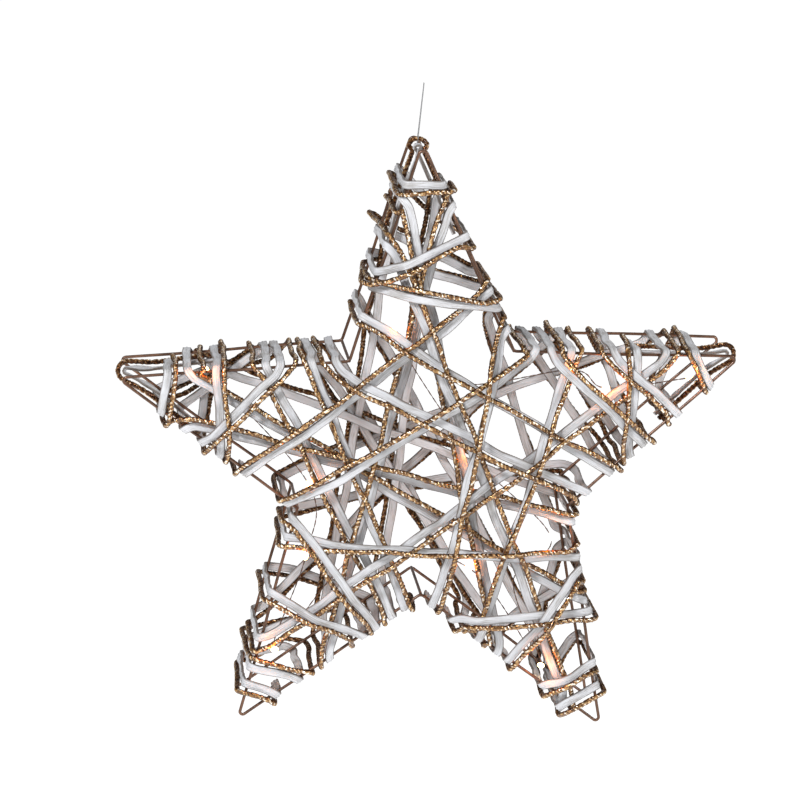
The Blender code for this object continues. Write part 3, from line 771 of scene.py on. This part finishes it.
# The sides and radius of the ring that is swept, and the least and most that the cord swells.
PAPER_RING = (18, 1.0)
PAPER_SWELL = (0.80, 1.06)
PAPER_POINT_STEP = 0.0015
PAPER_SWAY_SEED = 10
PAPER_SEED_STEP = 3.7
paper_tree, paper_given = new_tree("paper_cord", PAPER_LOOK)
paper_curve, _, _, paper_far = turned_path(paper_tree, paper_given)
paper_noise = uneven(paper_tree, paper_far, 38.0, 2.0)
paper_roll = maths(paper_tree, "MULTIPLY", maths(paper_tree, "SUBTRACT", paper_noise, 0.5),
                   paper_given.outputs["Roll"])
paper_spot = add_node(paper_tree, "GeometryNodeInputPosition")
paper_split = add_node(paper_tree, "ShaderNodeSeparateXYZ", {"Vector": paper_spot.outputs["Position"]})
paper_thick, paper_broad = paper_split.outputs["X"], paper_split.outputs["Y"]
paper_flat = maths(paper_tree, "POWER", maths(paper_tree, "ABSOLUTE", paper_thick), PAPER_SQUARENESS)
paper_wave = maths(paper_tree, "COSINE", maths(paper_tree, "MULTIPLY", paper_broad, PAPER_FOLD_PITCH))
paper_folds = maths(paper_tree, "MULTIPLY_ADD", paper_wave, paper_given.outputs["Crease"], 1.0)
paper_signed = maths(paper_tree, "MULTIPLY", maths(paper_tree, "MULTIPLY", paper_flat, paper_folds),
                     maths(paper_tree, "SIGN", paper_thick))
paper_shape = add_node(paper_tree, "ShaderNodeCombineXYZ", {
    "X": maths(paper_tree, "MULTIPLY", paper_signed, paper_given.outputs["Thickness"]),
    "Y": maths(paper_tree, "MULTIPLY", paper_broad, paper_given.outputs["Width"])})
paper_half = add_node(paper_tree, "ShaderNodeVectorMath", {0: paper_shape.outputs["Vector"], "Scale": 0.5},
                      operation="SCALE")
paper_swept = swept_cord(paper_tree, paper_curve, paper_roll, uneven(paper_tree, paper_far, 120.0, 3.0),
                         PAPER_SWELL, PAPER_RING, "across", paper_broad, paper_half.outputs["Vector"])
end_tree(paper_tree, paper_given, paper_swept)

paper_finish, paper_nodes = new_finish("white_paper", {"Roughness": 0.62, "Sheen Weight": 0.15})
paper_along = add_node(paper_nodes, "ShaderNodeAttribute", attribute_name="run")
paper_across = add_node(paper_nodes, "ShaderNodeAttribute", attribute_name="across")
paper_grain_place = add_node(paper_nodes, "ShaderNodeCombineXYZ", {
    "X": paper_along.outputs["Fac"], "Y": paper_across.outputs["Fac"]})
paper_stretch = add_node(paper_nodes, "ShaderNodeMapping", {
    "Vector": paper_grain_place.outputs["Vector"], "Scale": (70.0, 4.5, 1.0)})
paper_fibre = add_node(paper_nodes, "ShaderNodeTexNoise", {
    "Vector": paper_stretch.outputs["Vector"], "Scale": 1.0, "Detail": 5.0, "Roughness": 0.6})
paper_place = add_node(paper_nodes, "ShaderNodeTexCoord")
paper_cloud = add_node(paper_nodes, "ShaderNodeTexNoise", {
    "Vector": paper_place.outputs["Object"], "Scale": 45.0, "Detail": 3.0})
paper_shade = maths(paper_nodes, "MULTIPLY_ADD", paper_cloud.outputs["Fac"], 0.4,
                    maths(paper_nodes, "MULTIPLY", paper_fibre.outputs["Fac"], 0.6))
paper_colour = tinted(paper_nodes, paper_shade, (0.38, (0.44, 0.42, 0.40)), (0.52, (0.74, 0.745, 0.77)))
# The paper cord's rolled edges are painted darker, from the full colour at seven tenths of the half width to
# dark brown at the very edge: painted shade where the edges turn from the light.
paper_edge_painted_shade = tinted(paper_nodes, maths(paper_nodes, "ABSOLUTE", paper_across.outputs["Fac"]),
                    (0.70, (1.0, 1.0, 1.0)), (1.0, (0.16, 0.12, 0.09)))
paper_shaded = add_node(paper_nodes, "ShaderNodeVectorMath", {0: paper_colour, 1: paper_edge_painted_shade},
                        operation="MULTIPLY")
paper_bump = add_node(paper_nodes, "ShaderNodeBump", {
    "Height": paper_fibre.outputs["Fac"], "Strength": 0.9, "Distance": 0.0009})
join_shader(paper_nodes, {"Base Color": paper_shaded.outputs["Vector"],
                          "Normal": paper_bump.outputs["Normal"]})

laid_on_faces = {face: list(wire_strands().items()) for face in (-1, 1)}
paper_routes, gold_routes = {}, {}
for length_name, turns in WINDING.items():
    paper_routes[length_name] = cord_route(turns, False, laid_on_faces)
    gold_routes[length_name] = cord_route(turns, True, laid_on_faces)
for tip, (edges, tuck_share, end_heights) in TIP_ARCHES.items():
    paper_routes[tip + "_tip"] = arch_route(tip, edges, tuck_share, end_heights, ARCH_SPACING)
for number, (length_name, paper_route) in enumerate(paper_routes.items()):
    line, facing = soft_line(paper_route, PAPER_POINT_STEP, PAPER_SWAY_SEED + number)
    strip = grown_piece("paper_" + length_name, path_of("paper_path", line, facings=facing), paper_tree,
                        {**PAPER_LOOK, "Seed": PAPER_SEED_STEP * number}, paper_finish)
    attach(strip, "root")
    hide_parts("paper_cord_" + length_name)


# The gold cord is two plies twisted together and rolled in gold glitter over brown. It runs beside the
# paper cord all the way, also round the left, right and top tips, where the paper cord lies inside it.
GOLD_LOOK = {"Diameter": 0.0037, "Twist Length": 0.0074, "Waist": 0.20, "Seed": 0.0}
GOLD_TWIST_DRIFT = 2.4
GOLD_RING = (12, 0.5)
GOLD_SWELL = (0.92, 1.05)
GOLD_POINT_STEP = 0.00075
GOLD_SWAY_SEED = 40
GOLD_SEED_STEP = 5.1
gold_tree, gold_given = new_tree("gold_cord", GOLD_LOOK)
gold_curve, gold_facing, gold_run, gold_far = turned_path(gold_tree, gold_given)
gold_noise = uneven(gold_tree, gold_far, 60.0, 2.0)
gold_turns = maths(gold_tree, "DIVIDE", gold_run, gold_given.outputs["Twist Length"])
gold_twist = maths(gold_tree, "MULTIPLY_ADD", gold_noise, GOLD_TWIST_DRIFT, gold_turns)
gold_tilt = maths(gold_tree, "MULTIPLY", gold_twist, 2 * math.pi)
gold_spot = add_node(gold_tree, "GeometryNodeInputPosition")
gold_split = add_node(gold_tree, "ShaderNodeSeparateXYZ", {"Vector": gold_spot.outputs["Position"]})
gold_square = maths(gold_tree, "MULTIPLY", gold_split.outputs["Y"], gold_split.outputs["Y"])
gold_waist = maths(gold_tree, "MULTIPLY", gold_square, gold_given.outputs["Waist"])
gold_scale = maths(gold_tree, "MULTIPLY", maths(gold_tree, "MULTIPLY_ADD", gold_waist, -4.0, 1.0),
                   gold_given.outputs["Diameter"])
gold_shape = add_node(gold_tree, "ShaderNodeVectorMath", {
    0: gold_spot.outputs["Position"], "Scale": gold_scale}, operation="SCALE")
gold_swept = swept_cord(gold_tree, gold_curve, gold_tilt, gold_noise, GOLD_SWELL, GOLD_RING, "groove",
                        maths(gold_tree, "MULTIPLY", gold_square, 4.0), gold_shape.outputs["Vector"])
gold_normal = add_node(gold_tree, "GeometryNodeInputNormal")
gold_outward = add_node(gold_tree, "ShaderNodeVectorMath", {
    0: gold_normal.outputs["Normal"], 1: gold_facing}, operation="DOT_PRODUCT")
gold_sided = add_node(gold_tree, "GeometryNodeStoreNamedAttribute", {
    "Geometry": gold_swept, "Name": "outward", "Value": gold_outward.outputs["Value"]},
    data_type="FLOAT", domain="POINT")
end_tree(gold_tree, gold_given, gold_sided.outputs["Geometry"])

gold_finish, gold_nodes = new_finish("gold_glitter", {"Coat Roughness": 0.18})
gold_place = add_node(gold_nodes, "ShaderNodeTexCoord")
gold_flakes = add_node(gold_nodes, "ShaderNodeTexVoronoi", {
    "Vector": gold_place.outputs["Object"], "Scale": 850.0})
gold_flake_parts = add_node(gold_nodes, "ShaderNodeSeparateColor", {"Color": gold_flakes.outputs["Color"]})
gold_groove = add_node(gold_nodes, "ShaderNodeAttribute", attribute_name="groove")
# The glitter's flakes vary in tone at random. The grooves where the two plies meet are painted darker and the
# crests lighter, and the brightest flakes on the crests are painted near white: painted shade in the grooves
# and painted glints on the crests.
gold_crest_painted_light = maths(gold_nodes, "MULTIPLY_ADD", gold_groove.outputs["Fac"], -0.42, 0.42)
gold_shade = maths(gold_nodes, "MULTIPLY_ADD", gold_flake_parts.outputs["Red"], 0.58, gold_crest_painted_light)
gold_tone_with_painted_glints = tinted(gold_nodes, gold_shade, (0.0, (0.045, 0.019, 0.008)), (0.50, (0.27, 0.125, 0.038)),
                     (0.76, (0.74, 0.47, 0.19)), (0.83, (1.0, 0.95, 0.84)))
# Painted shade by how the surface faces: the colour is darkest on the cord's sides, dull brown on the side
# that faces into the star, and full only on the side that faces out. The coat is only on the side that faces
# out.
gold_side = add_node(gold_nodes, "ShaderNodeAttribute", attribute_name="outward")
gold_turned_out = add_node(gold_nodes, "ShaderNodeMapRange", {
    "Value": gold_side.outputs["Fac"], "From Min": -1.0, "From Max": 1.0})
gold_painted_side_shade = tinted(gold_nodes, gold_turned_out.outputs["Result"],
                     (0.0, (0.50, 0.42, 0.36)), (0.30, (0.19, 0.12, 0.07)),
                     (0.74, (0.28, 0.19, 0.115)), (0.88, (1.0, 1.0, 1.0)))
gold_lit_and_shaded_colour = add_node(gold_nodes, "ShaderNodeVectorMath", {0: gold_tone_with_painted_glints, 1: gold_painted_side_shade},
                     operation="MULTIPLY")
gold_coat = add_node(gold_nodes, "ShaderNodeMapRange", {
    "Value": gold_side.outputs["Fac"], "From Min": 0.4, "From Max": 0.9, "To Max": 0.8})
gold_metal = add_node(gold_nodes, "ShaderNodeMapRange", {
    "Value": gold_flake_parts.outputs["Green"], "From Min": 0.2, "From Max": 0.5,
    "To Min": 0.20, "To Max": 0.80})
gold_gloss = add_node(gold_nodes, "ShaderNodeMapRange", {
    "Value": gold_flake_parts.outputs["Blue"], "To Min": 0.18, "To Max": 0.5})
gold_bump = add_node(gold_nodes, "ShaderNodeBump", {
    "Height": gold_flakes.outputs["Distance"], "Strength": 0.6, "Distance": 0.0003})
join_shader(gold_nodes, {
    "Base Color": gold_lit_and_shaded_colour.outputs["Vector"], "Coat Weight": gold_coat.outputs["Result"],
    "Metallic": gold_metal.outputs["Result"], "Roughness": gold_gloss.outputs["Result"],
    "Normal": gold_bump.outputs["Normal"]})

for tip, (edges, tuck_share, end_heights) in TIP_ARCHES.items():
    gold_routes[tip + "_tip"] = arch_route(tip, edges, tuck_share, end_heights, 0.0)
for number, (length_name, gold_route) in enumerate(gold_routes.items()):
    line, facing = soft_line(gold_route, GOLD_POINT_STEP, GOLD_SWAY_SEED + number)
    glitter_cord = grown_piece("gold_" + length_name, path_of("gold_path", line, facings=facing), gold_tree,
                               {**GOLD_LOOK, "Seed": GOLD_SEED_STEP * number}, gold_finish)
    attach(glitter_cord, "root")
    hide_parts("gold_cord_" + length_name)


# The hanging loop is clear nylon line, tied round the gold cord at the top of its arch over the top tip.
# Its top bend is at the origin, where a hook holds it.
LOOP_LINE_DIAMETER = 0.0006
LOOP_TOP_HALF_WIDTH = 0.0012
LOOP_END_GAP = 0.0010
LOOP_POINTS_PER_STRETCH = 6
TOUCH_GAP = 0.0003

line_finish, line_nodes = new_finish("clear_nylon_line", {"Roughness": 0.22, "IOR": 1.53, "Alpha": 0.9})
line_place = add_node(line_nodes, "ShaderNodeTexCoord")
line_streaks = add_node(line_nodes, "ShaderNodeTexNoise", {
    "Vector": line_place.outputs["Object"], "Scale": 700.0, "Detail": 3.0})
join_shader(line_nodes, {"Base Color": tinted(
    line_nodes, line_streaks.outputs["Fac"], (0.0, (0.16, 0.16, 0.16)), (1.0, (0.40, 0.40, 0.40)))})

arch_points = [point for point, _ in gold_routes["top_tip"]]
held_at = max((a.lerp(b, 0.5) for a, b in zip(arch_points, arch_points[1:])), key=lambda point: point.z)
loop_clear = GOLD_DIAMETER * math.sqrt(0.5) + TOUCH_GAP + LOOP_LINE_DIAMETER / 2
loop_top = Vector((0.0, 0.0, -LOOP_TOP_HALF_WIDTH))
rising = (loop_top - held_at).normalized()
frontwards = (Vector((0.0, -1.0, 0.0)) + rising * rising.y).normalized()
low_front, high_front = held_at + frontwards * loop_clear, loop_top + frontwards * LOOP_TOP_HALF_WIDTH
low_back, high_back = held_at - frontwards * loop_clear, loop_top - frontwards * LOOP_TOP_HALF_WIDTH
loop_last = held_at + (frontwards * loop_clear - rising * LOOP_END_GAP).normalized() * loop_clear
loop_points = smooth_line([
    low_front, low_front.lerp(high_front, 0.5), high_front, Vector((0.0, 0.0, 0.0)),
    high_back, high_back.lerp(low_back, 0.5), low_back, held_at - rising * loop_clear, loop_last,
], LOOP_POINTS_PER_STRETCH)
hanging_loop = grown_piece("nylon_loop", path_of("nylon_loop_path", loop_points), round_line,
                           {"Diameter": LOOP_LINE_DIAMETER, "Sides": 8}, line_finish)
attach(hanging_loop, "root")
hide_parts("hanging_loop")


# The micro lights are small diodes, each in a drop of clear resin, on a pair of thin lacquered wires that
# wander through the inside of the star. They glow warm amber.
BEAD_SIZES = {"Diameter": 0.0036, "Length": 0.0052}
STRAND_SIZES = {"Diameter": 0.00042, "Sides": 6}
STRAND_SPREAD = 0.00024
STRAND_TWIST = 0.011
STRAND_FLATNESS = 0.7
STRAND_STEPS = 60
GLOW_POWER = 0.0100
GLOW_FRONT = -0.0500
GLOW_SIZE = 0.003
GLOW_COLOUR = (1.0, 0.24, 0.005)
# Each place is across, back and up, as shares of the star's radius and half depth, and whether it is lit.
LIGHT_ROUTE = [
    (-0.656, -0.36, 0.298, True), (-0.353, -0.62, -0.047, True), (-0.363, -0.56, -0.270, True),
    (-0.456, -0.31, -0.567, True), (-0.195, -0.38, -0.270, False), (0.126, -0.72, -0.307, True),
    (0.353, -0.41, -0.628, True), (0.270, -0.26, -0.372, False), (0.377, -0.56, -0.223, True),
    (0.140, -0.77, 0.037, True), (-0.098, -0.67, 0.414, True), (0.102, -0.26, 0.242, False),
    (0.437, -0.56, 0.288, True), (0.540, -0.59, 0.233, True), (0.800, -0.31, 0.251, True),
]
light_places = [world((x * STAR_RADIUS, z * STAR_RADIUS), y * HALF_DEPTH_AT_INNER_CORNERS)
                for x, y, z, _ in LIGHT_ROUTE]
lit_places = [index for index, (_, _, _, is_lit) in enumerate(LIGHT_ROUTE) if is_lit]

bead_tree, bead_given = new_tree("resin_bead", BEAD_SIZES)
bead_long = maths(bead_tree, "DIVIDE", bead_given.outputs["Length"], bead_given.outputs["Diameter"])
bead_stretch = add_node(bead_tree, "ShaderNodeCombineXYZ", {"X": 1.0, "Y": 1.0, "Z": bead_long})
bead_ball = add_node(bead_tree, "GeometryNodeMeshUVSphere", {
    "Segments": 20, "Rings": 12,
    "Radius": maths(bead_tree, "MULTIPLY", bead_given.outputs["Diameter"], 0.5)})
bead_drop = add_node(bead_tree, "GeometryNodeTransform", {
    "Geometry": bead_ball.outputs["Mesh"], "Scale": bead_stretch.outputs["Vector"]})
bead_axis = add_node(bead_tree, "GeometryNodeInputNamedAttribute", {"Name": "facing"},
                     data_type="FLOAT_VECTOR")
bead_turn = add_node(bead_tree, "FunctionNodeAlignEulerToVector", {
    "Vector": bead_axis.outputs["Attribute"]}, axis="Z")
bead_placed = add_node(bead_tree, "GeometryNodeInstanceOnPoints", {
    "Points": bead_given.outputs["Path"], "Instance": bead_drop.outputs["Geometry"],
    "Rotation": bead_turn.outputs["Rotation"]})
end_tree(bead_tree, bead_given, bead_placed.outputs["Instances"])

bead_finish, bead_nodes = new_finish("lit_resin", {"Roughness": 0.12, "Emission Strength": 9.0})
bead_place = add_node(bead_nodes, "ShaderNodeTexCoord")
bead_cloud = add_node(bead_nodes, "ShaderNodeTexNoise", {
    "Vector": bead_place.outputs["Object"], "Scale": 600.0})
bead_glow = tinted(bead_nodes, bead_cloud.outputs["Fac"],
                   (0.35, (1.0, 0.50, 0.12)), (0.65, (1.0, 0.82, 0.50)))
join_shader(bead_nodes, {"Base Color": bead_glow, "Emission Color": bead_glow})

bead_axes = []
for index in lit_places:
    after = light_places[min(index + 1, len(light_places) - 1)]
    bead_axes.append(tuple((after - light_places[max(index - 1, 0)]).normalized()))
bead_path = path_of("bead_places", [light_places[index] for index in lit_places], facings=bead_axes)
beads = grown_piece("resin_beads", bead_path, bead_tree, BEAD_SIZES, bead_finish)
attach(beads, "root")
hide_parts(*[f"micro_light_{number + 1:02d}" for number in range(len(lit_places))])

light_line = smooth_line(light_places, STRAND_STEPS)
strand_points = np.array([tuple(point) for point in light_line])
strand_run = np.concatenate([[0.0], np.cumsum(np.linalg.norm(np.diff(strand_points, axis=0), axis=1))])
for number in range(2):
    phase = 2 * math.pi * strand_run / STRAND_TWIST + number * math.pi
    around = np.stack([np.cos(phase), np.sin(phase) * STRAND_FLATNESS, np.sin(phase)], axis=1)
    strand_path = path_of("light_path", strand_points + around * STRAND_SPREAD)
    strand = grown_piece(f"light_strand_{number + 1}", strand_path, round_line, STRAND_SIZES, wire_finish)
    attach(strand, "root")
    if number == 0:
        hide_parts(*[f"light_wire_{count:02d}" for count in range(1, len(lit_places))])

# Each glow stands before the cords, on the way from its bead to the camera.
for number, index in enumerate(lit_places):
    glow_data = bpy.data.lights.new(f"glow_{number + 1:02d}", "POINT")
    glow_data.energy = GLOW_POWER
    glow_data.color = GLOW_COLOUR
    glow_data.shadow_soft_size = GLOW_SIZE
    glow = bpy.data.objects.new(f"glow_{number + 1:02d}", glow_data)
    glow.location = light_places[index] + back * ((light_places[index].y - GLOW_FRONT) / -back.y)
    bpy.context.scene.collection.objects.link(glow)
